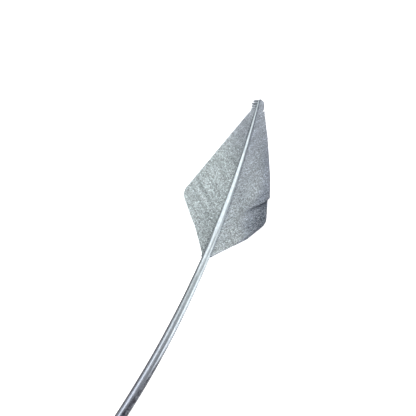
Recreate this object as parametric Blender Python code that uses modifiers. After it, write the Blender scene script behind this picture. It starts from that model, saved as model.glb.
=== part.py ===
"""Silver painted turkey quill, its vanes trimmed to a lozenge and its shaft stripped below them.

The feather grew as one piece, so it is one solid: a tapering shaft with both vanes fused to it.
It lies on its underside, tip towards +Y, and rests on the quill's end, the tip and the drooping
corners of the vanes. Stations are distances along the shaft from its tip, in metres.
"""

import math

import bmesh
import bpy
import numpy as np
from mathutils import Vector

MM = 0.001

# Shaft: real length and thickness, and how far it bends sideways and arches
SHAFT_LENGTH = 285 * MM
CALAMUS_LENGTH = 70 * MM
SHAFT_WIDTH = 6.5 * MM
TIP_WIDTH = 0.9 * MM
QUILL_END_WIDTH = 2.8 * MM
QUILL_END_TAPER = 26 * MM
TIP_HEADING = math.radians(-12.8)
SIDE_BEND = math.radians(20.05)
TIP_PITCH = math.radians(-8.1)
ARCH_BEND = math.radians(12.6)

# Vanes: where they start, how their barbs leave the shaft and curve, and how far they droop
VANE_LENGTH = 99 * MM
TIP_BARB = 1.2 * MM
SHORTEST_BARB = 0.6 * MM
VANE_THICKNESS = 0.6 * MM
ATTACH_HEIGHT = 0.25
LEFT, RIGHT = -1, 1
BARB_ANGLE = {LEFT: math.radians(62), RIGHT: math.radians(41)}
BARB_CURL = {LEFT: math.radians(0.65) / MM, RIGHT: math.radians(0.25) / MM}
TIP_FAN = 9 * MM
TIP_FAN_SHARE = 0.5
BASE_SPREAD = math.radians(6)
BASE_REACH = 20 * MM
DROOP_POWER = 1.6
LONGEST_BARB = 60 * MM

# The slit in the right vane and the lobe below it, and the nick and the gaps near the tip
SLIT_WIDTH = 0.45 * MM
SLIT_STATION = 81 * MM
SLIT_FROM = 0.5
LOBE_DROP = 1.5 * MM
LOBE_REACH = 14 * MM
LOBE_STEP = 0.55
LOBE_FROM = 0.3
NICK_STATION = 10.6 * MM
NICK_FROM = 0.8
GAP_STATIONS = (4.6 * MM, 7.2 * MM)
GAP_FROM = 0.45

# Trimmed outline, in mm from the shaft's tip: across, along, and the radius that rounds the corner
OUTLINE = (
    (-2.0, 0.0, 0.9),
    (-2.7, -2.2, 0.8),
    (-1.6, -7.6, 3.0),
    (-15.6, -68.3, 7.0),
    (1.5, -84.0, 20.0),
    (11.5, -95.4, 0.5),
    (13.0, -101.0, 0.5),
    (14.6, -96.6, 0.5),
    (30.4, -75.9, 12.0),
    (36.5, -62.5, 7.0),
    (30.9, -49.9, 1.0),
    (31.5, -47.9, 1.0),
    (25.8, -36.5, 20.0),
    (14.6, -17.8, 20.0),
    (5.6, -4.4, 1.5),
    (3.2, 0.3, 2.0),
    (0.4, 0.7, 1.0),
)

COLUMNS = 56
END_CROWDING = 0.55
ROWS = 7
SHAFT_POINTS = 56
SHAFT_RESOLUTION = 5
LINE_STEP = 0.25 * MM
CORNER_POINTS = 6
COLUMN_GAP = 0.54 * MM
WELD = 0.01 * MM
SHARP_ANGLE = math.radians(40)


def shaft_width(station):
    """Full width: a quarter sine wave from the tip to the calamus, then narrowing to the blunt end."""
    station = np.asarray(station, float)
    rachis = SHAFT_LENGTH - CALAMUS_LENGTH
    share = np.clip(station / rachis, 0, 1)
    width = TIP_WIDTH + (SHAFT_WIDTH - TIP_WIDTH) * np.sin(share * math.pi / 2)
    end = np.clip((station - SHAFT_LENGTH + QUILL_END_TAPER) / QUILL_END_TAPER, 0, 1)
    return width + (QUILL_END_WIDTH - SHAFT_WIDTH) * end**2


def heading_and_pitch(station):
    """Angle from +Y towards +X, and slope above the floor: both turn evenly along the rachis."""
    share = np.clip(np.asarray(station, float) / (SHAFT_LENGTH - CALAMUS_LENGTH), 0, 1)
    return TIP_HEADING + SIDE_BEND * share, TIP_PITCH + ARCH_BEND * share


def shaft_line():
    """Stations from the tip to the quill's end and the centreline's point at each, the tip at 0, 0, 0."""
    stations = np.arange(0, SHAFT_LENGTH + LINE_STEP / 2, LINE_STEP)
    heading, pitch = heading_and_pitch((stations[1:] + stations[:-1]) / 2)
    step = -LINE_STEP * np.stack(
        [np.sin(heading) * np.cos(pitch), np.cos(heading) * np.cos(pitch), np.sin(pitch)], axis=1
    )
    return stations, np.vstack([np.zeros(3), np.cumsum(step, axis=0)])


STATIONS, CENTRES = shaft_line()


def centre(station):
    """Centreline point at a station, or at each of several."""
    return np.stack([np.interp(station, STATIONS, CENTRES[:, i]) for i in range(3)], axis=-1)


def floor_height():
    """Height of the surface that the feather lies on: the underside of the quill's lowest stretch."""
    return np.min(CENTRES[:, 2] - shaft_width(STATIONS) / 2)


def rounded_outline():
    """The trimmed outline as a closed polygon in metres, with an arc at each corner."""
    corners = np.array(OUTLINE) * MM
    points = []
    for i, (x, y, radius) in enumerate(corners):
        corner = np.array([x, y])
        before = corners[i - 1, :2] - corner
        after = corners[(i + 1) % len(corners), :2] - corner
        before, after = (side / np.linalg.norm(side) for side in (before, after))
        half_angle = math.acos(np.clip(before @ after, -1, 1)) / 2
        bisector = (before + after) / np.linalg.norm(before + after)
        hub = corner + bisector * radius / math.sin(half_angle)
        reach = radius / math.tan(half_angle)
        start, end = corner + before * reach - hub, corner + after * reach - hub
        turn = math.atan2(start[0] * end[1] - start[1] * end[0], start @ end)
        for angle in np.linspace(0, turn, CORNER_POINTS):
            c, s = math.cos(angle), math.sin(angle)
            points.append(hub + (c * start[0] - s * start[1], s * start[0] + c * start[1]))
    return np.array(points)


def inside(x, y, polygon):
    """Whether each point lies in the polygon, by counting the edges that a ray towards +X crosses."""
    found = np.zeros(np.shape(x), bool)
    for (x0, y0), (x1, y1) in zip(polygon, np.roll(polygon, -1, axis=0)):
        if y0 != y1:
            found ^= ((y0 > y) != (y1 > y)) & (x < x0 + (y - y0) * (x1 - x0) / (y1 - y0))
    return found


def smooth_step(value):
    value = np.clip(value, 0, 1)
    return value * value * (3 - 2 * value)


def barb_angle(side, station):
    """Angle between barb and shaft: even, but closing up to a fan at the tip and wider at the base."""
    fan = TIP_FAN_SHARE + (1 - TIP_FAN_SHARE) * smooth_step(station / TIP_FAN)
    spread = BASE_SPREAD * smooth_step((station - VANE_LENGTH + BASE_REACH) / BASE_REACH)
    return BARB_ANGLE[side] * fan + spread


def barb_plan(side, station, along):
    """Plan position on the barb rooted at a station, and its distance from the shaft.

    A barb is an arc: it leaves the shaft at its angle and turns towards the tip by BARB_CURL.
    """
    heading, _ = heading_and_pitch(station)
    root = centre(station)
    start = heading + side * barb_angle(side, station)
    turned = start - side * BARB_CURL[side] * along
    dx = (np.cos(turned) - np.cos(start)) / (side * BARB_CURL[side])
    dy = (np.sin(start) - np.sin(turned)) / (side * BARB_CURL[side])
    away = side * (dx * np.cos(heading) - dy * np.sin(heading))
    return root[..., 0] + dx, root[..., 1] + dy, away


def barb_length(side, station, polygon):
    """How far each barb runs before it leaves the trimmed outline."""
    along = np.arange(0, LONGEST_BARB, LINE_STEP)
    x, y, _ = barb_plan(side, station[:, None], along[None, :])
    outside = ~inside(x, y, polygon)
    shortest = shaft_width(station) / 2 / np.sin(BARB_ANGLE[side]) + SHORTEST_BARB
    return np.maximum(along[np.argmax(outside, axis=1)] - LINE_STEP / 2, shortest)


def lobe_drop(side, station, share):
    """The part of the right vane below the slit hangs lower, most at its edge and beside the slit."""
    if side == LEFT:
        return np.zeros(np.broadcast_shapes(np.shape(station), np.shape(share)))
    below = (station > SLIT_STATION) * smooth_step((station - SLIT_STATION) / LOBE_REACH + LOBE_STEP)
    return LOBE_DROP * below * smooth_step((share - LOBE_FROM) / (1 - LOBE_FROM))


def vane_columns():
    """Root stations of the sheet's columns, a close pair at each split, and the splits' columns."""
    splits = {
        SLIT_STATION: (RIGHT, SLIT_FROM),
        NICK_STATION: (RIGHT, NICK_FROM),
        GAP_STATIONS[0]: (LEFT, GAP_FROM),
        GAP_STATIONS[1]: (LEFT, GAP_FROM),
    }
    share = np.linspace(0, 1, COLUMNS)
    share += END_CROWDING * ((1 - np.cos(share * math.pi)) / 2 - share)
    even = TIP_BARB + (VANE_LENGTH - TIP_BARB) * share
    apart = np.min(np.abs(even[:, None] - np.array(list(splits))), axis=1) > COLUMN_GAP
    pairs = [at + half * SLIT_WIDTH / 2 for at in splits for half in (-1, 1)]
    stations = np.sort(np.concatenate([even[apart], pairs]))
    cuts = [(int(np.searchsorted(stations, at)) - 1, *rule) for at, rule in splits.items()]
    return stations, cuts


def vane_points(stations):
    """Sheet points, one row per column: left edge, root inside the shaft, right edge."""
    polygon = rounded_outline()
    root_height = centre(stations)[:, 2] + ATTACH_HEIGHT * shaft_width(stations)
    halves = {}
    for side in (LEFT, RIGHT):
        length = barb_length(side, stations, polygon)
        share = np.linspace(0, 1, ROWS + 1)[None, :]
        x, y, away = barb_plan(side, stations[:, None], share * length[:, None])
        lobe = lobe_drop(side, stations[:, None], share)
        corner = np.unravel_index(np.argmax(away), away.shape)
        droop = root_height[corner[0]] - floor_height() - VANE_THICKNESS / 2 - lobe[corner]
        z = root_height[:, None] - droop * (away / away[corner]) ** DROOP_POWER - lobe
        halves[side] = np.stack([x, y, z], axis=-1)
    return np.concatenate([halves[LEFT][:, :0:-1], halves[RIGHT]], axis=1)


def make_vanes(collection):
    """One thin sheet across both vanes: a grid with a column along each barb, slit, then thickened."""
    stations, cuts = vane_columns()
    points = vane_points(stations)
    columns, rows = len(stations) - 1, 2 * ROWS
    sheet = bmesh.new()
    bmesh.ops.create_grid(sheet, x_segments=columns, y_segments=rows, size=1)

    def cell(co):
        return (co.x + 1) / 2 * columns, (co.y + 1) / 2 * rows

    removed = []
    for face in sheet.faces:
        column, row = (math.floor(v) for v in cell(face.calc_center_median()))
        for cut_column, side, start in cuts:
            share = (row + 0.5 - ROWS) / ROWS * side
            if column == cut_column and share > start:
                removed.append(face)
    for vert in sheet.verts:
        column, row = (round(v) for v in cell(vert.co))
        vert.co = points[column, row]
    bmesh.ops.delete(sheet, geom=removed, context="FACES")
    mesh = bpy.data.meshes.new("vane_sheet")
    sheet.to_mesh(mesh)
    sheet.free()
    vanes = bpy.data.objects.new("vane_sheet", mesh)
    collection.objects.link(vanes)
    shell = vanes.modifiers.new("thickness", "SOLIDIFY")
    shell.thickness = VANE_THICKNESS
    shell.offset = 0
    vanes.hide_render = True
    vanes.display_type = "WIRE"
    return vanes


def make_shaft(collection):
    """The shaft: a round tapering tube along the centreline, made a mesh so that it can be joined."""
    stations = np.linspace(0, SHAFT_LENGTH, SHAFT_POINTS)
    curve = bpy.data.curves.new("shaft_line", "CURVE")
    curve.dimensions = "3D"
    curve.bevel_depth = SHAFT_WIDTH / 2
    curve.bevel_resolution = SHAFT_RESOLUTION
    curve.use_fill_caps = True
    spline = curve.splines.new("POLY")
    spline.points.add(SHAFT_POINTS - 1)
    for point, place, width in zip(spline.points, centre(stations), shaft_width(stations)):
        point.co = (*place, 1)
        point.radius = width / SHAFT_WIDTH
    guide = bpy.data.objects.new("shaft_line", curve)
    collection.objects.link(guide)
    evaluated = guide.evaluated_get(bpy.context.evaluated_depsgraph_get())
    mesh = bpy.data.meshes.new_from_object(evaluated)
    bpy.data.objects.remove(guide)
    tube = bmesh.new()
    tube.from_mesh(mesh)
    bmesh.ops.remove_doubles(tube, verts=tube.verts, dist=WELD)
    bmesh.ops.recalc_face_normals(tube, faces=tube.faces)
    tube.to_mesh(mesh)
    tube.free()
    mesh.shade_smooth()
    mesh.set_sharp_from_angle(angle=SHARP_ANGLE)
    shaft = bpy.data.objects.new("feather", mesh)
    collection.objects.link(shaft)
    return shaft


def silver_paint():
    """Satin silver spray paint over horn."""
    material = bpy.data.materials.new("silver_painted_keratin")
    material.use_nodes = True
    shader = material.node_tree.nodes["Principled BSDF"]
    shader.inputs["Base Color"].default_value = (0.42, 0.46, 0.48, 1)
    shader.inputs["Metallic"].default_value = 0.6
    shader.inputs["Roughness"].default_value = 0.42
    return material


def set_down(feather, sheet):
    """Moves the feather so that the middle of its box's underside is the origin."""
    sheet.parent = feather
    bpy.context.view_layer.update()
    solid = feather.evaluated_get(bpy.context.evaluated_depsgraph_get())
    corners = np.array([Vector(corner) for corner in solid.bound_box])
    low, high = corners.min(axis=0), corners.max(axis=0)
    feather.location = (-(low[0] + high[0]) / 2, -(low[1] + high[1]) / 2, -low[2])


def main():
    for old in list(bpy.data.objects):
        bpy.data.objects.remove(old)
    parts = bpy.data.collections.new("turkey_quill_feather")
    guides = bpy.data.collections.new("joined_shapes")
    for collection in (parts, guides):
        bpy.context.scene.collection.children.link(collection)
    feather = make_shaft(parts)
    sheet = make_vanes(guides)
    union = feather.modifiers.new("vanes", "BOOLEAN")
    union.operation = "UNION"
    union.solver = "EXACT"
    union.object = sheet
    paint = silver_paint()
    for painted in (feather, sheet):
        painted.data.materials.append(paint)
    set_down(feather, sheet)


main()
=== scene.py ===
"""Silver sprayed turkey quill lying on a white table: each barb of its trimmed vanes, and its bare shaft.

The CAD node is one solid. Here the shaft and the two vanes are meshes of their own that take its
place. Stations are distances along the shaft from its tip, in metres, and the formulas for the shaft
and the vanes repeat those of the part's source, so each barb lies where the solid's vane is.
"""

import math

import bpy
import numpy as np
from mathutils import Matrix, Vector


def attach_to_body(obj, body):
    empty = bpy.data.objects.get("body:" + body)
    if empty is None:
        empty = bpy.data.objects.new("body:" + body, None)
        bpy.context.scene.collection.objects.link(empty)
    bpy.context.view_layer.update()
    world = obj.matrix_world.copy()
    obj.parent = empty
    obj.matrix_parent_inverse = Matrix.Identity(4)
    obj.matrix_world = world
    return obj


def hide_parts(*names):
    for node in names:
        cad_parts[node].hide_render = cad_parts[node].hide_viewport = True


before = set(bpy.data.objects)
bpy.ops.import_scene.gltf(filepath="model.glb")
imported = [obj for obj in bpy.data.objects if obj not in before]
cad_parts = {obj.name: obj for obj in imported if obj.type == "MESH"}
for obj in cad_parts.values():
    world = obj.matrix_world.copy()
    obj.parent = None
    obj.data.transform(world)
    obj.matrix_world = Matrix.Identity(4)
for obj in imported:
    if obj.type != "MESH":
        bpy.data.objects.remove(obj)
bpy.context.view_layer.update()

MM = 0.001
RANDOM = np.random.default_rng(27)

# Shaft, as in the part's source
SHAFT_LENGTH = 285 * MM
CALAMUS_LENGTH = 70 * MM
SHAFT_WIDTH = 6.5 * MM
TIP_WIDTH = 0.9 * MM
QUILL_END_WIDTH = 2.8 * MM
QUILL_END_TAPER = 26 * MM
TIP_HEADING = math.radians(-12.8)
SIDE_BEND = math.radians(20.05)
TIP_PITCH = math.radians(-8.1)
ARCH_BEND = math.radians(12.6)
LINE_STEP = 0.25 * MM

# Vanes, as in the part's source
VANE_LENGTH = 99 * MM
SHORTEST_BARB = 0.6 * MM
VANE_THICKNESS = 0.6 * MM
ATTACH_HEIGHT = 0.25
LEFT, RIGHT = -1, 1
BARB_ANGLE = {LEFT: math.radians(62), RIGHT: math.radians(41)}
BARB_CURL = {LEFT: math.radians(0.65) / MM, RIGHT: math.radians(0.25) / MM}
TIP_FAN = 9 * MM
TIP_FAN_SHARE = 0.5
BASE_SPREAD = math.radians(6)
BASE_REACH = 20 * MM
DROOP_POWER = 1.6
LONGEST_BARB = 60 * MM
SLIT_STATION = 81 * MM
LOBE_DROP = 1.5 * MM
LOBE_REACH = 14 * MM
LOBE_STEP = 0.55
LOBE_FROM = 0.3

# Trimmed outline, in mm from the shaft's tip: across, along, and the radius that rounds the corner
OUTLINE = (
    (-2.0, 0.0, 0.9),
    (-2.7, -2.2, 0.8),
    (-1.6, -7.6, 3.0),
    (-15.6, -68.3, 7.0),
    (1.5, -84.0, 20.0),
    (11.5, -95.4, 0.5),
    (13.0, -101.0, 0.5),
    (14.6, -96.6, 0.5),
    (30.4, -75.9, 12.0),
    (36.5, -62.5, 7.0),
    (30.9, -49.9, 1.0),
    (31.5, -47.9, 1.0),
    (25.8, -36.5, 20.0),
    (14.6, -17.8, 20.0),
    (5.6, -4.4, 1.5),
    (3.2, 0.3, 2.0),
    (0.4, 0.7, 1.0),
)
CORNER_POINTS = 6

# Barbs: how far apart their roots are, how uneven they are, and how finely they are drawn
BARB_PITCH = 0.40 * MM
ROOT_JITTER = 0.02 * MM
SWAY_JITTER = 0.04 * MM
LIFT_JITTER = 0.025 * MM
TRIM_JITTER = 0.07 * MM
BARB_RINGS = 34
ROOT_DEPTH = 0.3
TIP_THINNING = 0.45
LENGTH_STEP = 0.05 * MM

# A barb in section: across in half pitches, and height in mm. Its web's far edge lies on the next
# barb's near edge, and its ramus stands up and hangs down between the two.
BARB_SECTION = (
    (-1.42, -0.01),
    (-0.45, 0.02),
    (0.00, 0.13),
    (0.45, 0.05),
    (1.42, 0.05),
    (1.42, -0.05),
    (0.00, -0.20),
    (-1.42, -0.11),
)

# The slit runs between the two barbs that the outline's notch divides
SLIT = SLIT_STATION - 0.25 * MM
# Splits between barbs: station, share of the barb where it starts, how far it opens, and how far from
# it the barbs still make room. The slit's upper edge lies over the lobe, so it opens by less than nothing.
# The other one on the right is the nick.
SPLITS = {
    LEFT: (
        (1.6 * MM, 0.3, 0.3 * MM, 0.6 * MM),
        (3.0 * MM, 0.3, 0.6 * MM, 0.6 * MM),
        (4.7 * MM, 0.4, 0.5 * MM, 0.6 * MM),
    ),
    RIGHT: (
        (SLIT, 0.45, -0.5 * MM, 4 * MM),
        (10.5 * MM, 0.8, 0.5 * MM, 0.5 * MM),
    ),
}
# Barbs this near to the slit are cut square at their tips, so that the notch there doesn't skew them
SQUARE_TIPS = 1.4 * MM
# Barbs this near to it don't sway
CALM_REACH = 2 * MM
# The lobe's barbs beside the slit lie in shade: they dip, and the shade on them is painted
SLIT_SHADE = SLIT + MM
SLIT_SHADE_WIDTH = 1.0 * MM
SLIT_SHADE_FROM, SLIT_SHADE_REACH = 0.42, 0.45
SLIT_SHADOW = 0.95
SLIT_DIP = 0.15 * MM
# The barbs beside the slit bow towards the tip at mid length, by this much and over these reaches
SLIT_BOW = 2.8 * MM
BOW_REACH = 12 * MM
BOW_SHARE, BOW_WIDTH = 0.5, 0.28
# Short barbs on the right, at the nick and at the very tip, and longer ones at the nick's lower side:
# station, half width and how much shorter
NICKS = (
    (10.5 * MM, 0.5 * MM, 1.3 * MM),
    (0.0, 0.7 * MM, 0.5 * MM),
    (11.6 * MM, 0.7 * MM, -0.45 * MM),
)

# Soft folds along the barbs: station, half width and rise
FOLDS = {
    LEFT: (
        (71.5 * MM, 1.4 * MM, -0.8 * MM),
        (75.2 * MM, 1.7 * MM, 0.6 * MM),
        (78.4 * MM, 1.3 * MM, -0.6 * MM),
    ),
    RIGHT: (
        (78.6 * MM, 1.6 * MM, 0.25 * MM),
        (82.6 * MM, 1.6 * MM, -0.3 * MM),
    ),
}
FOLD_FROM = 3 * MM
FOLD_REACH = 10 * MM
# Ripples over the whole vane: length and rise
RIPPLES = (
    (6.5 * MM, 0.05 * MM),
    (10.3 * MM, 0.08 * MM),
    (17 * MM, 0.10 * MM),
)
# How much brighter the paint is on a ridge, for each metre that it rises, as painted light on the ridges
# and painted shade in the valleys, and from one barb to another
FOLD_TONE = 0.25 / MM
BARB_TONE = 0.03

FIRST_BARB = 0.15 * MM
# Barbs at the left of the tip: ruffled back, uneven, and with painted shade between the tufts
RUFFLE = math.radians(42)
RUFFLE_FROM, RUFFLE_REACH = 4 * MM, 6 * MM
FRAY_STATION = 2.4 * MM
FRAY_REACH = 2.6 * MM
FRAY_JITTER = 0.3 * MM
FRAY_SWAY = 3
TUFT_PITCH = 1.55 * MM
TUFT_SHADE = 0.85

# Painted shade, as a share of the shade's grey that shows: close to the shaft; on the left in a band along
# the shaft, stronger above, and a little low down; on the right round the corner and at the edge
ROOT_SHADE, ROOT_SHADE_REACH = 0.4, 0.5 * MM
BAND_SHADE, BAND_REACH, BAND_START = 0.38, 9 * MM, 18 * MM
BAND_BELOW, BAND_FROM, BAND_FADE = 0.5, 30 * MM, 40 * MM
LOW_SHADE, LOW_FROM, LOW_FADE = 0.12, 66 * MM, 20 * MM
CORNER = (37 * MM, -63 * MM)
CORNER_SHADE, CORNER_REACH = 0.66, 15.5 * MM
EDGE_SHADE, EDGE_REACH, EDGE_START = 0.38, 14 * MM, 55 * MM
# The share may pass 1, so that the slit's shade stays dark under the paint's lightest specks
MOST_SHADE = 1.5
# Patches of painted light, which are brighter, and of painted shade, which are darker: station, half
# length, distance from the shaft, half width, and how much brighter
LIT_AND_SHADED_PATCHES = {
    LEFT: (
        (6 * MM, 7 * MM, 3 * MM, 4 * MM, 0.14),
        (53 * MM, 9 * MM, 5 * MM, 3.5 * MM, 0.06),
        (56 * MM, 10 * MM, 18 * MM, 6 * MM, -0.08),
        (83 * MM, 10 * MM, 25 * MM, 7 * MM, 0.08),
        (89 * MM, 6 * MM, 7 * MM, 5 * MM, -0.04),
    ),
    RIGHT: (
        (5 * MM, 9 * MM, 2 * MM, 4 * MM, -0.09),
        (50 * MM, 10 * MM, 10 * MM, 5 * MM, -0.04),
        (61 * MM, 9 * MM, 17 * MM, 5 * MM, 0.11),
        (80 * MM, 11 * MM, 0, 6 * MM, 0.18),
        (85 * MM, 3 * MM, 15 * MM, 4 * MM, 0.05),
    ),
}

# Shaft in section: a rounded square along the rachis and a circle along the calamus
SHAFT_SIDES = 40
RING_STEP = 0.25 * MM
VANE_SQUARENESS, RACHIS_SQUARENESS = 3.4, 2.1
SQUARE_TO = 88 * MM
ROUND_END = 0.5 * MM
CHANNEL_DEPTH = 0.015
CHANNEL_WIDTH = math.radians(26)
CHANNEL_FROM, CHANNEL_TO = 88 * MM, 192 * MM
GROOVE_DEPTH = 0.2
GROOVE_WIDTH = math.radians(24)
GROOVE_FROM, GROOVE_TO = 12 * MM, 212 * MM
FADE = 12 * MM
SCAR_PITCH = 0.75 * MM
SCAR_HEIGHT = 0.022
SCAR_WIDTH = math.radians(9)
SCAR_FROM, SCAR_TO = 97 * MM, 203 * MM
# The section wobbles by this share, turning over one length and coming and going over the other
WOBBLE, WOBBLE_TURN, WOBBLE_LENGTH = 0.012, 9 * MM, 23 * MM
# The first ring's share of the full width, where the tip is rounded
FIRST_RING = 0.2

# The quill's blunt end: how far past the last station each ring is in mm, and its radius as a share
BLUNT_END = (
    (0.0, 0.96),
    (0.12, 0.88),
    (0.16, 0.76),
    (0.05, 0.62),
    (-0.6, 0.5),
    (-1.5, 0.4),
    (-2.0, 0.2),
)

# Camera: straight down, as far from the feather as a long lens needs for the photograph's frame
PIXEL = 0.58 * MM
IMAGE_PIXELS = 416
LENS = 200
SENSOR = 36
IMAGE_TURN = math.radians(27)
PICTURE_CENTRE = (2.06 * MM, -69.6 * MM)
FOCUS_HEIGHT = 6.5 * MM
CLIP_END = 20

# Lamps: azimuth and tilt in degrees, then distance, length and width in metres, and radiance
LAMPS = {
    "left_box": (180, 38.5, 1.0, 3.0, 0.54, 1.85),
    "tip_box": (96, 20, 1.0, 0.45, 0.62, 1.9),
    "right_box": (-3, 59, 1.0, 0.6, 0.42, 2.3),
}
STUDIO_GLOW = 0.26
TABLE_GLOW = 0.75
TABLE_REACH = 3.0
TABLE_TOP = -0.02 * MM

# Paint on the barbs. Noise that follows them: size across the barbs, size along them, and detail. The
# streaks are drawn out specks, and in the bands the barbs lie a little differently. Real barbules are
# four times as fine as these, which are as coarse as they need to be to show.
STREAKS = (0.9 * MM, 7 * MM, 2)
BANDS = (2.6 * MM, 30 * MM, 2)
BARBULES = (0.8 * MM, 0.25 * MM, 1)
BLOTCH_SIZE, BLOTCH_DETAIL = 9 * MM, 3
# Real specks and flakes of this paint are about 0.05 mm across. These are drawn coarser, so that they show.
SPECK_SIZE, SPECK_DETAIL = 0.3 * MM, 1
FLAKE_SIZE = 0.45 * MM
# How dark and how light the specks and the flakes' painted glints get: at the tip, where the paint is
# calmer, and below it
SPECK_DARKEST, SPECK_LIGHTEST = (0.60, 0.34), (1.40, 1.66)
GLINT_DULLEST, GLINT_BRIGHTEST = (0.70, 0.5), (1.30, 1.5)
BUMP_SPECKS = 0.8
BARB_BUMP, BARB_BUMP_HEIGHT = 0.5, 0.08 * MM
# The bluish grey of the painted shade on the barbs
SHADE_GREY = "#3c4450"
# Stations in mm between which the tip's paint turns into the rest, then the paint at the tip, darker as
# painted shade, the paint, the dusty paint in its blotches, and the tint of the painted shade
BARB_PAINT = {
    LEFT: (22, 45, "#c2cad2", "#cfdadc", "#c4cfd1", "#ffffff"),
    RIGHT: (25, 92, "#bdc5cf", "#d7e0e3", "#ccd6da", "#f4f5ff"),
}

# Ranges: values from one number to another are made to run from a third to a fourth, or else from 0 to 1
NOISE = (0.3, 0.7)
SHARE = (0, 1)
BLOTCHES = (0.35, 0.65)
BARB_TONES = (*NOISE, 0.92, 1.08)
SHADE_TINTING = (0.18, 0.42)
SHADE_BY_SPECK = (0.6, 1.4, 1.6, 0.4)
ROUGH_BY_SPECK = (0.6, 1.4, 0.56, 0.42)
METAL_BY_SHADE = (0, 1, 0.3, 0.05)

# Paint on the shaft
SCRATCH_SIZE, SCRATCH_LENGTH, SCRATCH_DETAIL = 0.7 * MM, 6 * MM, 3
CRUST_SIZE, CRUST_DETAIL, CRUST_ROUGHNESS = 0.7 * MM, 2, 0.6
MOTTLE_SIZE, MOTTLE_DETAIL, MOTTLE_ROUGHNESS = 1.8 * MM, 3, 0.7
HORN_TONES = (*NOISE, 0.93, 1.07)
HORN_PAINT, HORN_BRIGHT, HORN_VIOLET, DARK_HORN_AND_SHADE = "#c2ced5", "#dfe9ed", "#b2b4ca", "#2e2e3a"
HORN_ROUGH = (*NOISE, 0.28, 0.38)
HORN_METAL_BY_SHADE_AND_BARE = (0, 1, 0.95, 0.1)
HORN_BUMP, HORN_BUMP_HEIGHT = 0.35, 0.05 * MM
# Turns round the shaft are counted from its right side over its top. Painted shade darkens the left flank
# along a ragged line, and a painted dark reflection the right flank from its side up to a height that grows.
LEFT_LINE, LEFT_LINE_RAGGED, LEFT_LINE_EDGE = 0.445, 0.03, (0.075, 0.095, 1, 0)
RIGHT_LINE_RAGGED, RIGHT_LINE_EDGE = 0.04, (-0.03, 0.04, 1, 0)
RIGHT_LINE_MOTTLE = (0.38, 0.62, 1, 0.65)
# A painted highlight right of the ridge's top, in turns
RIGHT_HIGHLIGHT = (0.18, 0.25, 0.32, 0)
# Along the shaft, in mm: how strong each line is, how high the right one reaches in turns, where the paint
# has a painted highlight on the right, is darker as a painted dark reflection, and is crusted at the tip,
# and where the horn under it gives it a violet cast
LEFT_LINE_ALONG = (85, 105, 0.35, 1)
RIGHT_LINE_ALONG = (102, 138, 0.2, 1)
RIGHT_LINE_HEIGHT = (150, 200, 0.1, 0.3)
RIGHT_HIGHLIGHT_ALONG = (102, 118)
DARK_REFLECTION_ALONG = (92, 112, 1, 0.78)
CRUST_ALONG = (8, 40, 0.66, 1)
VIOLET_ALONG = (120, 185, 0, 0.5)
# The quill's cut end, and how bare it is all round
CUT_ALONG, CUT_BARE = (283.2, 284.8), 0.5
# Painted highlight and shade on each side of the ridge: turn, where it begins, where it ends, and how much
# brighter the paint is there
RIDGE_SIDES = (
    (0.200, (86, 98), (138, 150, 1, 0), 0.30),
    (0.295, (104, 112), (132, 146, 1, 0), -0.22),
)
RIDGE_SIDE_EDGE = (0.02, 0.045)

# White card: how large its fibres are, and their two whites
FIBRE_SIZE, FIBRE_DETAIL = 1.5 * MM, 4
CARD_WHITES = ("#f4f4f4", "#fbfbfb")
WHITE = "#ffffff"

# Where a Mix node keeps two colours, and what makes it mix them and gives their mix
FIRST, SECOND = 6, 7
COLOURS = {"out": 2, "data_type": "RGBA"}


def shaft_width(station):
    """Full width: a quarter sine wave from the tip to the calamus, then narrowing to the blunt end."""
    share = np.clip(station / (SHAFT_LENGTH - CALAMUS_LENGTH), 0, 1)
    width = TIP_WIDTH + (SHAFT_WIDTH - TIP_WIDTH) * np.sin(share * math.pi / 2)
    end = np.clip((station - SHAFT_LENGTH + QUILL_END_TAPER) / QUILL_END_TAPER, 0, 1)
    return width + (QUILL_END_WIDTH - SHAFT_WIDTH) * end**2


def heading_and_pitch(station):
    """Angle from +Y towards +X, and slope above the floor: both turn evenly along the rachis."""
    share = np.clip(station / (SHAFT_LENGTH - CALAMUS_LENGTH), 0, 1)
    return TIP_HEADING + SIDE_BEND * share, TIP_PITCH + ARCH_BEND * share


def shaft_line():
    """Stations from the tip to the quill's end and the centreline's point at each, the tip at 0, 0, 0."""
    stations = np.arange(0, SHAFT_LENGTH + LINE_STEP / 2, LINE_STEP)
    heading, pitch = heading_and_pitch((stations[1:] + stations[:-1]) / 2)
    step = -LINE_STEP * np.stack(
        [np.sin(heading) * np.cos(pitch), np.cos(heading) * np.cos(pitch), np.sin(pitch)], axis=1
    )
    return stations, np.vstack([np.zeros(3), np.cumsum(step, axis=0)])


STATIONS, CENTRES = shaft_line()


def tip_place():
    """Where the CAD solid's shaft starts: the middle of its blunt end, less the centreline's last point."""
    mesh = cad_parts["feather"].data
    points = np.empty(len(mesh.vertices) * 3)
    mesh.vertices.foreach_get("co", points)
    points = points.reshape(-1, 3)
    ring = points[points[:, 1] < points[:, 1].min() + MM]
    return (ring.min(axis=0) + ring.max(axis=0)) / 2 - CENTRES[-1]


TIP = tip_place()


def centre(station):
    """Centreline point at each station, the tip at 0, 0, 0."""
    return np.stack([np.interp(station, STATIONS, CENTRES[:, i]) for i in range(3)], axis=-1)


def floor_height():
    """Height of the surface that the feather lies on: the underside of the quill's lowest stretch."""
    return np.min(CENTRES[:, 2] - shaft_width(STATIONS) / 2)


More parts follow.
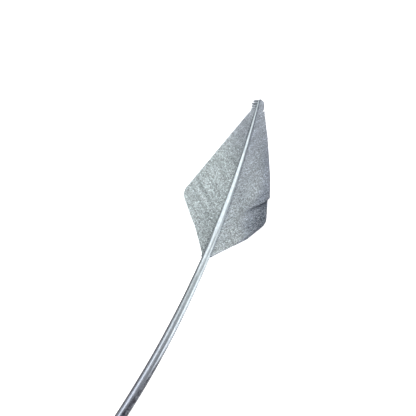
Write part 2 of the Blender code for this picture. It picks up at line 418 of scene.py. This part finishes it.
def rounded_outline():
    """The trimmed outline as a closed polygon in metres, with an arc at each corner."""
    corners = np.array(OUTLINE) * MM
    points = []
    for i, (x, y, radius) in enumerate(corners):
        corner = np.array([x, y])
        before = corners[i - 1, :2] - corner
        after = corners[(i + 1) % len(corners), :2] - corner
        before, after = (side / np.linalg.norm(side) for side in (before, after))
        half_angle = math.acos(np.clip(before @ after, -1, 1)) / 2
        bisector = (before + after) / np.linalg.norm(before + after)
        hub = corner + bisector * radius / math.sin(half_angle)
        reach = radius / math.tan(half_angle)
        start, end = corner + before * reach - hub, corner + after * reach - hub
        turn = math.atan2(start[0] * end[1] - start[1] * end[0], start @ end)
        for angle in np.linspace(0, turn, CORNER_POINTS):
            c, s = math.cos(angle), math.sin(angle)
            points.append(hub + (c * start[0] - s * start[1], s * start[0] + c * start[1]))
    return np.array(points)


def inside(x, y, polygon):
    """Whether each point lies in the polygon, by counting the edges that a ray towards +X crosses."""
    found = np.zeros(np.shape(x), bool)
    for (x0, y0), (x1, y1) in zip(polygon, np.roll(polygon, -1, axis=0)):
        if y0 != y1:
            found ^= ((y0 > y) != (y1 > y)) & (x < x0 + (y - y0) * (x1 - x0) / (y1 - y0))
    return found


def smooth_step(value):
    """0 below 0, 1 above 1, and a smooth rise between them."""
    value = np.clip(value, 0, 1)
    return value * value * (3 - 2 * value)


def bell(value, width):
    """1 at 0, falling away on both sides over the width."""
    return np.exp(-((value / width) ** 2))


def barb_angle(side, station):
    """Angle between barb and shaft: even, but wider at the base, and at the tip a fan or ruffled back."""
    spread = BASE_SPREAD * smooth_step((station - VANE_LENGTH + BASE_REACH) / BASE_REACH)
    if side == LEFT:
        ruffle = RUFFLE * smooth_step((RUFFLE_FROM + RUFFLE_REACH - station) / RUFFLE_REACH)
        return BARB_ANGLE[side] + spread + ruffle
    fan = TIP_FAN_SHARE + (1 - TIP_FAN_SHARE) * smooth_step(station / TIP_FAN)
    return BARB_ANGLE[side] * fan + spread


def barb_plan(side, station, along):
    """Plan position on the barb rooted at a station, and its distance from the shaft.

    A barb is an arc: it leaves the shaft at its angle and turns towards the tip by BARB_CURL.
    """
    heading, _ = heading_and_pitch(station)
    root = centre(station)
    start = heading + side * barb_angle(side, station)
    turned = start - side * BARB_CURL[side] * along
    dx = (np.cos(turned) - np.cos(start)) / (side * BARB_CURL[side])
    dy = (np.sin(start) - np.sin(turned)) / (side * BARB_CURL[side])
    away = side * (dx * np.cos(heading) - dy * np.sin(heading))
    return root[..., 0] + dx, root[..., 1] + dy, away


def barb_lengths(side):
    """Stations and how far a barb rooted at each runs before it leaves the trimmed outline."""
    station = np.arange(0, VANE_LENGTH + 2 * BARB_PITCH, BARB_PITCH / 2)
    along = np.arange(0, LONGEST_BARB, LENGTH_STEP)
    x, y, _ = barb_plan(side, station[:, None], along[None, :])
    length = along[np.argmax(~inside(x, y, rounded_outline()), axis=1)] - LENGTH_STEP / 2
    shortest = shaft_width(station) / 2 / np.sin(BARB_ANGLE[side]) + SHORTEST_BARB
    return station, np.maximum(length, shortest)


def lobe_drop(side, station, share):
    """The part of the right vane below the slit hangs lower, most at its edge and beside the slit."""
    if side == LEFT:
        return np.zeros(np.broadcast_shapes(np.shape(station), np.shape(share)))
    below = (station > SLIT_STATION) * smooth_step((station - SLIT_STATION) / LOBE_REACH + LOBE_STEP)
    return LOBE_DROP * below * smooth_step((share - LOBE_FROM) / (1 - LOBE_FROM))


def root_height(station):
    """Height at which the vanes meet the shaft, above the tip's centre."""
    return centre(station)[..., 2] + ATTACH_HEIGHT * shaft_width(station)


def furthest_corner(side, station, length):
    """The vane's distance from the shaft at its outermost point, and how far it droops to the floor there."""
    _, _, away = barb_plan(side, station, length)
    outermost = np.argmax(away)
    lobe = lobe_drop(side, station[outermost], 1.0)
    droop = root_height(station[outermost]) - floor_height() - VANE_THICKNESS / 2 - lobe
    return away[outermost], droop


def soft_folds(side, station, away):
    """Ridges and valleys along the barbs: bell curves and sine waves over the stations, wider outwards."""
    folds = sum(rise * bell(station - at, width) for at, width, rise in FOLDS[side])
    waves = sum(rise * np.sin(2 * math.pi * station / length + side) for length, rise in RIPPLES)
    return (folds + waves) * smooth_step((away - FOLD_FROM) / FOLD_REACH)


def parting(side, root, share):
    """How far a barb moves along the shaft.

    It makes room for the splits beside it, growing outwards, and bows towards the tip near the slit.
    """
    moved = 0
    for at, start, opening, reach in SPLITS[side]:
        near = np.sign(root - at) * np.exp(-np.abs(root - at) / reach)
        moved = moved + opening / 2 * near * smooth_step((share - start) / (1 - start))
    if side == RIGHT:
        bow = bell(root - SLIT_STATION, BOW_REACH) * bell(share - BOW_SHARE, BOW_WIDTH)
        moved = moved - SLIT_BOW * bow
    return moved


def painted_shade(side, station, x, y, away, from_end):
    """How much painted shade darkens the barbs.

    Bell curves over the distance from the shaft and from the corner, and a smooth rise towards the edge.
    """
    beside = away - shaft_width(station) / 2
    roots = ROOT_SHADE * bell(beside, ROOT_SHADE_REACH)
    if side == LEFT:
        above = 1 - BAND_BELOW * smooth_step((station - BAND_FROM) / BAND_FADE)
        low = LOW_SHADE * smooth_step((station - LOW_FROM) / LOW_FADE)
        return roots + low + BAND_SHADE * above * bell(beside, BAND_REACH) * smooth_step(station / BAND_START)
    corner = CORNER_SHADE * bell(np.hypot(x - CORNER[0], y - CORNER[1]), CORNER_REACH)
    edge = EDGE_SHADE * smooth_step(1 - from_end / EDGE_REACH) * smooth_step(station / EDGE_START)
    return roots + corner + edge


def lit_and_shaded_patches(side, station, away):
    """How much brighter the paint is in patches of painted light and shade: bell curves along the shaft
    times ones out from it.
    """
    return sum(
        tone * bell(station - at, length) * bell(away - out, width)
        for at, length, out, width, tone in LIT_AND_SHADED_PATCHES[side]
    )


def vane_arrays(side):
    """Points of every barb, in the order barb, ring, section point, with what the paint needs there.

    A point is found from its station, which is the barb's root plus its place across the section, and
    its share of the way along the barb. The barb's plan gives x and y, and the vane's droop, folds, lobe
    and section give z.
    """
    stations, lengths = barb_lengths(side)
    corner_away, droop = furthest_corner(side, stations, lengths)
    count = int((VANE_LENGTH - FIRST_BARB) / BARB_PITCH)
    root = FIRST_BARB + BARB_PITCH * np.arange(count) + RANDOM.normal(0, ROOT_JITTER, count)
    sway, lift, trim, tone = RANDOM.normal(0, 1, (4, count, 1, 1))
    root = root[:, None, None]
    section = np.array(BARB_SECTION)
    across, rise = section[None, None, :, 0], section[None, None, :, 1] * MM
    share = np.linspace(0, 1, BARB_RINGS)[None, :, None]

    fray = bell(root - FRAY_STATION, FRAY_REACH) * (side == LEFT)
    calm = 1 - bell(root - SLIT_STATION, CALM_REACH) * (side == RIGHT)
    moved = parting(side, root, share) + SWAY_JITTER * sway * share * (1 + FRAY_SWAY * fray) * calm
    own = np.maximum(root + across * BARB_PITCH / 2, 0)
    nick = (side == RIGHT) * sum(depth * bell(own - at, width) for at, width, depth in NICKS)
    beside_slit = (side == RIGHT) * (np.abs(root - SLIT_STATION) < SQUARE_TIPS)
    end = np.interp(np.where(beside_slit, root, own), stations, lengths)
    end = end + trim * (TRIM_JITTER + FRAY_JITTER * fray) - nick
    start = ROOT_DEPTH * shaft_width(own) / np.sin(BARB_ANGLE[side])
    along = start + (end - start) * share
    x, y, away = barb_plan(side, own + moved, along)
    z = root_height(own) - droop * (away / corner_away) ** DROOP_POWER
    folds = soft_folds(side, own, away)
    z = z - lobe_drop(side, root + SLIT_STATION - SLIT, along / end) + folds
    slit = bell(root - SLIT_SHADE, SLIT_SHADE_WIDTH) * (side == RIGHT)
    slit = slit * smooth_step((share - SLIT_SHADE_FROM) / SLIT_SHADE_REACH)
    z = z + LIFT_JITTER * lift * share + rise * (1 - TIP_THINNING * share) - SLIT_DIP * slit

    points = np.stack([x, y, z], axis=-1) + TIP
    # Painted shade: between tufts, by the slit and the shaft, low on the left, at the right corner and edge
    gaps = smooth_step(0.5 - 0.5 * np.cos(2 * math.pi * root / TUFT_PITCH))
    shade_and_bare = TUFT_SHADE * fray * gaps + SLIT_SHADOW * slit + painted_shade(side, own, x, y, away, end - along)
    # The tone is random per barb, with painted light and shade on the folds and in patches
    tone = 1 + BARB_TONE * tone + FOLD_TONE * folds + lit_and_shaded_patches(side, own, away)
    wrap = np.stack(np.broadcast_arrays(own / VANE_LENGTH, along / LONGEST_BARB), axis=-1)
    return points, wrap, {"tone": tone, "shade_and_bare": np.clip(shade_and_bare, 0, MOST_SHADE)}


def grid_faces(rings, around, first=0):
    """Quads of a closed tube whose points are numbered ring by ring, and the polygon at each end."""
    ring, side = np.meshgrid(np.arange(rings - 1), np.arange(around), indexing="ij")
    after = (side + 1) % around
    quads = np.stack([ring * around + side, ring * around + after], axis=-1)
    quads = np.concatenate([quads, quads[..., ::-1] + around], axis=-1).reshape(-1, 4)
    start = np.arange(around)[::-1]
    end = (rings - 1) * around + np.arange(around)
    return quads + first, start + first, end + first


def add_piece(name, points, faces, wrap, wrap_name, values=None, around=None):
    """A mesh object at the origin with a UV map of its own and a number at each point for each value.

    Where the map goes round a tube, around is its points in a ring, and the last face of each ring ends
    at a whole turn instead of running back to none.
    """
    mesh = bpy.data.meshes.new(name)
    mesh.from_pydata(points.reshape(-1, 3).tolist(), [], faces)
    corners = np.empty(len(mesh.loops), np.int32)
    mesh.loops.foreach_get("vertex_index", corners)
    uv = mesh.uv_layers.new(name=wrap_name)
    wrap = wrap.reshape(-1, 2)[corners].astype(np.float32)
    if around:
        rings = len(points)
        tube = wrap[: (rings - 1) * around * 4].reshape(rings - 1, around, 4, 2)
        tube[:, -1, 1:3, 1] += 1
    uv.data.foreach_set("uv", wrap.ravel())
    for key, number in (values or {}).items():
        attribute = mesh.attributes.new(key, "FLOAT", "POINT")
        attribute.data.foreach_set("value", number.astype(np.float32).ravel())
    mesh.shade_smooth()
    piece = bpy.data.objects.new(name, mesh)
    bpy.context.scene.collection.objects.link(piece)
    return piece


def make_vane(side, name):
    """One vane: its barbs as separate closed ribbons that overlap, all in one mesh."""
    points, wrap, values = vane_arrays(side)
    barbs, rings, around = points.shape[:3]
    quads, start, end = grid_faces(rings, around)
    first = (np.arange(barbs) * rings * around)[:, None]
    turn = slice(None, None, side)
    quads = (quads[None] + first[:, None]).reshape(-1, 4)[:, turn]
    caps = np.concatenate([start[None] + first, end[None] + first])[:, turn]
    return add_piece(name, points, quads.tolist() + caps.tolist(), wrap, "barb_wrap", values)


def window(station, start, end):
    """1 between two stations, fading to 0 over FADE at both ends."""
    return smooth_step((station - start) / FADE) * smooth_step((end - station) / FADE)


def shaft_radius(station, angle):
    """Distance from the centreline at an angle round it, in shares of the half width.

    It is a superellipse that is squarer along the rachis, less a shallow channel along its back and
    the groove along its underside, plus a row of low scars on both flanks where barbs were stripped.
    Angle 0 points right and a quarter turn points up.
    """
    rachis = window(station, 0, SHAFT_LENGTH - CALAMUS_LENGTH)
    between_vanes = window(station, -FADE, SQUARE_TO)
    power = 2 + (RACHIS_SQUARENESS - 2) * rachis + (VANE_SQUARENESS - RACHIS_SQUARENESS) * between_vanes
    radius = (np.abs(np.cos(angle)) ** power + np.abs(np.sin(angle)) ** power) ** (-1 / power)
    up, down = math.pi / 2, 3 * math.pi / 2
    channel = CHANNEL_DEPTH * bell(angle - up, CHANNEL_WIDTH) * window(station, CHANNEL_FROM, CHANNEL_TO)
    groove = GROOVE_DEPTH * bell(angle - down, GROOVE_WIDTH) * window(station, GROOVE_FROM, GROOVE_TO)
    attach = math.asin(2 * ATTACH_HEIGHT)
    flanks = bell(angle - attach, SCAR_WIDTH) + bell(angle - math.pi + attach, SCAR_WIDTH)
    scar = np.abs(np.sin(math.pi * station / SCAR_PITCH)) * window(station, SCAR_FROM, SCAR_TO)
    wobble = np.sin(2 * angle + station / WOBBLE_TURN) * np.sin(station / WOBBLE_LENGTH)
    return radius - channel - groove + SCAR_HEIGHT * flanks * scar + WOBBLE * wobble * rachis


def make_shaft():
    """The shaft: its section carried along the centreline.

    The tip is rounded by a quarter circle, and past the last station the rings of the blunt end turn back
    into a shallow hollow.
    """
    station = np.arange(0, SHAFT_LENGTH + RING_STEP / 2, RING_STEP)
    tip = np.sqrt(1 - np.clip(1 - station / ROUND_END, 0, 1) ** 2)
    tip = np.maximum(tip, FIRST_RING)
    past, share = np.array(BLUNT_END).T
    past = np.concatenate([np.zeros(len(station)), past * MM])[:, None]
    share = np.concatenate([tip, share])[:, None]
    station = np.concatenate([station, np.full(len(BLUNT_END), SHAFT_LENGTH)])[:, None]
    angle = (np.arange(SHAFT_SIDES) / SHAFT_SIDES * 2 * math.pi)[None, :]
    heading, pitch = heading_and_pitch(station)
    aside, forward = np.sin(heading), np.cos(heading)
    sideways = np.stack([forward, -aside, np.zeros_like(heading)], axis=-1)
    upwards = np.stack([-aside * np.sin(pitch), -forward * np.sin(pitch), np.cos(pitch)], axis=-1)
    back = -np.stack([aside * np.cos(pitch), forward * np.cos(pitch), np.sin(pitch)], axis=-1)
    radius = (shaft_radius(station, angle) * share * shaft_width(station) / 2)[..., None]
    outwards = np.cos(angle)[..., None] * sideways + np.sin(angle)[..., None] * upwards
    points = centre(station) + back * past[..., None] + radius * outwards + TIP
    wrap = np.stack(np.broadcast_arrays(station / SHAFT_LENGTH, angle / (2 * math.pi)), axis=-1)
    quads, start, end = grid_faces(len(station), SHAFT_SIDES)
    faces = quads.tolist() + [start.tolist(), end.tolist()]
    return add_piece("shaft", points, faces, wrap, "shaft_wrap", around=SHAFT_SIDES)


def linear(colour):
    """An sRGB hex colour as linear red, green, blue and alpha."""
    channels = np.array([int(colour[i : i + 2], 16) for i in (1, 3, 5)]) / 255
    low, high = channels / 12.92, ((channels + 0.055) / 1.055) ** 2.4
    return (*np.where(channels <= 0.04045, low, high), 1)


def fill(tree, node, inputs):
    """Gives each input of a node its value, or links it to another node's output."""
    for key, value in inputs.items():
        if isinstance(value, bpy.types.NodeSocket):
            tree.links.new(value, node.inputs[key])
        else:
            node.inputs[key].default_value = value


def add(tree, kind, *values, out=0, **settings):
    """Adds a node with its settings and links, and gives one of its outputs.

    Values go to its inputs in order, or to the ones that a dictionary names.
    """
    node = tree.nodes.new("ShaderNode" + kind)
    for key, value in settings.items():
        setattr(node, key, value)
    named = bool(values) and isinstance(values[0], dict)
    fill(tree, node, values[0] if named else dict(enumerate(values)))
    return node.outputs[out]


def new_material(name):
    """A material with its tree and Principled shader."""
    material = bpy.data.materials.new(name)
    material.use_nodes = True
    return material, material.node_tree, material.node_tree.nodes["Principled BSDF"]


def silver_sprayed_barbs(name, tip_from, tip_to, shaded_tip_paint, paint, dusty_paint, shade_tint):
    """Aluminium flake spray paint, which dried as a fine crust on the feather's hooked barbules.

    The eye gets a satin grey with a grain of lit and shaded specks and painted glints on the flakes, both
    calmer towards the tip, broad soft blotches where the coat is thicker or thinner, faint streaks along the
    barbs, painted light and shade on the folds and in patches, paint darker towards the tip as painted
    shade, and painted shade that turns barbs a bluish grey.
    """
    material, tree, shader = new_material(name)
    place = add(tree, "TexCoord", out="Object")
    wrap = add(tree, "UVMap", uv_map="barb_wrap")
    tone = add(tree, "Attribute", out="Fac", attribute_name="tone")
    shade_and_bare = add(tree, "Attribute", out="Fac", attribute_name="shade_and_bare")
    along_shaft = add(tree, "SeparateXYZ", wrap)
    from_tip = add(tree, "MapRange", along_shaft, tip_from * MM / VANE_LENGTH, tip_to * MM / VANE_LENGTH)
    along_barbs = []
    for across, along, detail in (STREAKS, BANDS, BARBULES):
        scale = (VANE_LENGTH / across, LONGEST_BARB / along, 1)
        stretched = add(tree, "Mapping", {"Vector": wrap, "Scale": scale})
        along_barbs.append(add(tree, "TexNoise", {"Vector": stretched, "Scale": 1, "Detail": detail}))
    streaks, bands, barbules = along_barbs
    streaks = add(tree, "MapRange", streaks, *BARB_TONES)
    bands = add(tree, "MapRange", bands, *BARB_TONES)

    specks = add(tree, "TexNoise", {"Vector": place, "Scale": 1 / SPECK_SIZE, "Detail": SPECK_DETAIL})
    darkest = add(tree, "MapRange", from_tip, *SHARE, *SPECK_DARKEST)
    lightest = add(tree, "MapRange", from_tip, *SHARE, *SPECK_LIGHTEST)
    specks = add(tree, "MapRange", specks, *NOISE, darkest, lightest)
    # Painted glints: the flakes are drawn at random brightnesses
    flake_glints = add(tree, "TexVoronoi", {"Vector": place, "Scale": 1 / FLAKE_SIZE}, out="Color")
    flake_glints = add(tree, "SeparateColor", flake_glints)
    dullest = add(tree, "MapRange", from_tip, *SHARE, *GLINT_DULLEST)
    brightest = add(tree, "MapRange", from_tip, *SHARE, *GLINT_BRIGHTEST)
    flake_glints = add(tree, "MapRange", flake_glints, *SHARE, dullest, brightest)

    blotches = add(tree, "TexNoise", {"Vector": place, "Scale": 1 / BLOTCH_SIZE, "Detail": BLOTCH_DETAIL})
    blotches = add(tree, "MapRange", blotches, *BLOTCHES)
    colour = add(tree, "Mix", {0: blotches, FIRST: linear(dusty_paint), SECOND: linear(paint)}, **COLOURS)
    # Painted shade: the paint is darker towards the tip
    colour = add(tree, "Mix", {0: from_tip, FIRST: linear(shaded_tip_paint), SECOND: colour}, **COLOURS)
    for factor in (specks, streaks, bands, flake_glints, tone):
        colour = add(tree, "VectorMath", {0: colour, "Scale": factor}, operation="SCALE")
    # Painted shade also tints the paint
    tint_share = add(tree, "MapRange", shade_and_bare, *SHADE_TINTING)
    tint = add(tree, "Mix", {0: tint_share, FIRST: linear(WHITE), SECOND: linear(shade_tint)}, **COLOURS)
    colour = add(tree, "VectorMath", colour, tint, operation="MULTIPLY")
    # The painted shade shows most where the specks are dark
    patchy = add(tree, "MapRange", specks, *SHADE_BY_SPECK)
    patchy = add(tree, "Math", shade_and_bare, patchy, operation="MULTIPLY")
    colour = add(tree, "Mix", {0: patchy, FIRST: colour, SECOND: linear(SHADE_GREY)}, **COLOURS)

    height = add(tree, "Math", specks, BUMP_SPECKS, barbules, operation="MULTIPLY_ADD")
    bump = {"Height": height, "Strength": BARB_BUMP, "Distance": BARB_BUMP_HEIGHT}
    fill(tree, shader, {
        "Base Color": colour,
        "Metallic": add(tree, "MapRange", shade_and_bare, *METAL_BY_SHADE),
        "Roughness": add(tree, "MapRange", specks, *ROUGH_BY_SPECK),
        "Normal": add(tree, "Bump", bump),
    })
    return material


def painted_dark_flanks_and_bare_end(tree, station, turn, crust, mottle):
    """How dark the shaft is drawn, as a share.

    That is painted shade in a line along the left flank and a painted dark reflection on the right flank up
    to a height that grows towards the quill, both with edges made ragged by the crust, and half of the cut
    end, where the horn is bare.
    """
    left = add(tree, "Math", turn, LEFT_LINE, operation="SUBTRACT")
    left = add(tree, "Math", left, operation="ABSOLUTE")
    left = add(tree, "Math", crust, LEFT_LINE_RAGGED, left, operation="MULTIPLY_ADD")
    left = add(tree, "MapRange", left, *LEFT_LINE_EDGE)
    left_strength = add(tree, "MapRange", station, *LEFT_LINE_ALONG)
    left = add(tree, "Math", left, left_strength, operation="MULTIPLY")

    # Turns from the right side, up or down, less the height that the painted dark reflection reaches
    right = add(tree, "Math", turn, 0.5, -0.5, operation="WRAP")
    right = add(tree, "Math", right, operation="ABSOLUTE")
    right_height = add(tree, "MapRange", station, *RIGHT_LINE_HEIGHT)
    right = add(tree, "Math", right, right_height, operation="SUBTRACT")
    right = add(tree, "Math", crust, RIGHT_LINE_RAGGED, right, operation="MULTIPLY_ADD")
    right = add(tree, "MapRange", right, *RIGHT_LINE_EDGE)
    for strength in (
        add(tree, "MapRange", station, *RIGHT_LINE_ALONG),
        add(tree, "MapRange", mottle, *RIGHT_LINE_MOTTLE),
    ):
        right = add(tree, "Math", right, strength, operation="MULTIPLY")

    shade_and_bare = add(tree, "Math", left, right, operation="MAXIMUM")
    cut = add(tree, "MapRange", station, *CUT_ALONG)
    lacking = add(tree, "Math", CUT_BARE, shade_and_bare, operation="SUBTRACT")
    return add(tree, "Math", cut, lacking, shade_and_bare, operation="MULTIPLY_ADD")


def highlight_and_shade_tones(tree, station, turn):
    """Factors for the paint's brightness: a painted highlight on the right, and painted highlight and shade
    beside the ridge.
    """
    right_highlight = add(tree, "MapRange", turn, *RIGHT_HIGHLIGHT)
    right_highlight_along = add(tree, "MapRange", station, *RIGHT_HIGHLIGHT_ALONG)
    tones = [add(tree, "Math", right_highlight, right_highlight_along, 1, operation="MULTIPLY_ADD")]
    for middle, begins, ends, brighter in RIDGE_SIDES:
        near = add(tree, "Math", turn, middle, operation="SUBTRACT")
        near = add(tree, "Math", near, operation="ABSOLUTE")
        near = add(tree, "MapRange", near, *RIDGE_SIDE_EDGE, brighter, 0)
        begun = add(tree, "MapRange", station, *begins)
        lasting = add(tree, "MapRange", station, *ends)
        here = add(tree, "Math", begun, lasting, operation="MULTIPLY")
        tones.append(add(tree, "Math", near, here, 1, operation="MULTIPLY_ADD"))
    return tones


def silver_sprayed_horn(name):
    """The same paint on the shaft's smooth hard horn, where it lies flatter and shines more.

    The eye gets a bright line where the shaft turns to a light, painted highlights and painted shade beside
    the ridge, a painted highlight on its right, paint darker towards the quill as a painted dark reflection,
    a dark line of painted shade along the left flank, a mottled painted dark reflection on the right towards
    the quill, where the paint has a violet cast, and a bare cut end.
    """
    material, tree, shader = new_material(name)
    place = add(tree, "TexCoord", out="Object")
    wrap = add(tree, "UVMap", uv_map="shaft_wrap")
    station = add(tree, "SeparateXYZ", wrap, out="X")
    station = add(tree, "Math", station, SHAFT_LENGTH / MM, operation="MULTIPLY")
    turn = add(tree, "SeparateXYZ", wrap, out="Y")

    scale = (1 / SCRATCH_SIZE, 1 / SCRATCH_LENGTH, 1 / SCRATCH_SIZE)
    stretched = add(tree, "Mapping", {"Vector": place, "Scale": scale})
    scratches = add(tree, "TexNoise", {"Vector": stretched, "Scale": 1, "Detail": SCRATCH_DETAIL})
    crust, mottle = (
        add(tree, "TexNoise", {"Vector": place, "Scale": 1 / size, "Detail": detail, "Roughness": roughness})
        for size, detail, roughness in (
            (CRUST_SIZE, CRUST_DETAIL, CRUST_ROUGHNESS),
            (MOTTLE_SIZE, MOTTLE_DETAIL, MOTTLE_ROUGHNESS),
        )
    )

    thickness = add(tree, "MapRange", mottle, *NOISE)
    paint = {0: thickness, FIRST: linear(HORN_PAINT), SECOND: linear(HORN_BRIGHT)}
    paint = add(tree, "Mix", paint, **COLOURS)
    # Painted dark reflection towards the quill, and painted highlights and shade beside the ridge
    for factor in (add(tree, "MapRange", station, *DARK_REFLECTION_ALONG), *highlight_and_shade_tones(tree, station, turn)):
        paint = add(tree, "VectorMath", {0: paint, "Scale": factor}, operation="SCALE")
    violet = add(tree, "MapRange", station, *VIOLET_ALONG)
    paint = add(tree, "Mix", {0: violet, FIRST: paint, SECOND: linear(HORN_VIOLET)}, **COLOURS)
    for factor in (
        add(tree, "MapRange", scratches, *HORN_TONES),
        add(tree, "MapRange", crust, *HORN_TONES),
        add(tree, "MapRange", station, *CRUST_ALONG),
    ):
        paint = add(tree, "VectorMath", {0: paint, "Scale": factor}, operation="SCALE")
    # Painted shade and dark reflection on the flanks, and the bare cut end
    shade_and_bare = painted_dark_flanks_and_bare_end(tree, station, turn, crust, mottle)

    height = add(tree, "Math", scratches, crust, operation="ADD")
    bump = {"Height": height, "Strength": HORN_BUMP, "Distance": HORN_BUMP_HEIGHT}
    fill(tree, shader, {
        "Base Color": add(tree, "Mix", {0: shade_and_bare, FIRST: paint, SECOND: linear(DARK_HORN_AND_SHADE)}, **COLOURS),
        "Metallic": add(tree, "MapRange", shade_and_bare, *HORN_METAL_BY_SHADE_AND_BARE),
        "Roughness": add(tree, "MapRange", crust, *HORN_ROUGH),
        "Normal": add(tree, "Bump", bump),
    })
    return material


def white_card():
    """Matt white card, lit through from below as on a light table, so that it shows no hard shadow."""
    material, tree, shader = new_material("white_card")
    place = add(tree, "TexCoord", out="Object")
    fibres = add(tree, "TexNoise", {"Vector": place, "Scale": 1 / FIBRE_SIZE, "Detail": FIBRE_DETAIL})
    fibres = add(tree, "MapRange", fibres, *NOISE)
    dull, bright = (linear(white) for white in CARD_WHITES)
    fill(tree, shader, {
        "Base Color": add(tree, "Mix", {0: fibres, FIRST: dull, SECOND: bright}, **COLOURS),
        "Roughness": 0.9,
        "Specular IOR Level": 0.1,
        "Emission Color": linear(WHITE),
        "Emission Strength": TABLE_GLOW,
    })
    return material


def make_floor():
    """The plain pale floor, just under the feather."""
    low, high = -TABLE_REACH, TABLE_REACH
    corners = [(x, y, TABLE_TOP) for x, y in ((low, low), (high, low), (high, high), (low, high))]
    mesh = bpy.data.meshes.new("table_top")
    mesh.from_pydata(corners, [], [(0, 1, 2, 3)])
    table = bpy.data.objects.new("table_top", mesh)
    bpy.context.scene.collection.objects.link(table)
    mesh.materials.append(white_card())


def softbox(name, azimuth, tilt, distance, length, width, radiance):
    """A rectangular lamp that faces the feather.

    Azimuth runs from +X towards +Y and tilt down from straight up, in degrees. Its length lies level and
    its width runs up and down. Its power is radiance times area times pi.
    """
    lamp = bpy.data.lights.new(name, "AREA")
    lamp.shape = "RECTANGLE"
    lamp.size, lamp.size_y = length, width
    lamp.energy = radiance * length * width * math.pi
    turn, lean = math.radians(azimuth), math.radians(tilt)
    towards = Vector((math.sin(lean) * math.cos(turn), math.sin(lean) * math.sin(turn), math.cos(lean)))
    holder = bpy.data.objects.new(name, lamp)
    holder.location = Vector((TIP[0], TIP[1] + PICTURE_CENTRE[1], 0)) + towards * distance
    holder.rotation_euler = towards.to_track_quat("Z", "Y").to_euler()
    bpy.context.scene.collection.objects.link(holder)


def make_lights():
    """Soft studio light: a large box on the left, one over the tip, and a small one low on the right."""
    for name, values in LAMPS.items():
        softbox(name, *values)
    world = bpy.data.worlds.new("studio")
    world.use_nodes = True
    studio = {"Color": linear(WHITE), "Strength": STUDIO_GLOW}
    fill(world.node_tree, world.node_tree.nodes["Background"], studio)
    bpy.context.scene.world = world


def make_camera():
    """A long lens straight above the vanes, turned so that the tip points to the picture's upper right."""
    camera = bpy.data.cameras.new("camera")
    camera.lens = LENS
    camera.sensor_width = SENSOR
    camera.clip_end = CLIP_END
    holder = bpy.data.objects.new("camera", camera)
    x, y = PICTURE_CENTRE
    distance = PIXEL * IMAGE_PIXELS * LENS / SENSOR
    holder.location = (TIP[0] + x, TIP[1] + y, FOCUS_HEIGHT + distance)
    holder.rotation_euler = (0, 0, IMAGE_TURN)
    bpy.context.scene.collection.objects.link(holder)
    bpy.context.scene.camera = holder


def make_feather():
    """The shaft and both vanes, painted, in place of the CAD solid."""
    horn = silver_sprayed_horn("silver_sprayed_horn")
    left_barbs = silver_sprayed_barbs("silver_sprayed_barbs_left", *BARB_PAINT[LEFT])
    right_barbs = silver_sprayed_barbs("silver_sprayed_barbs_right", *BARB_PAINT[RIGHT])
    painted = (
        (make_shaft(), horn),
        (make_vane(LEFT, "left_vane"), left_barbs),
        (make_vane(RIGHT, "right_vane"), right_barbs),
    )
    for piece, paint in painted:
        piece.data.materials.append(paint)
        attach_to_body(piece, "root")
        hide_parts("feather")


make_camera()
make_lights()
make_floor()
make_feather()
bpy.context.scene.view_settings.view_transform = "Standard"
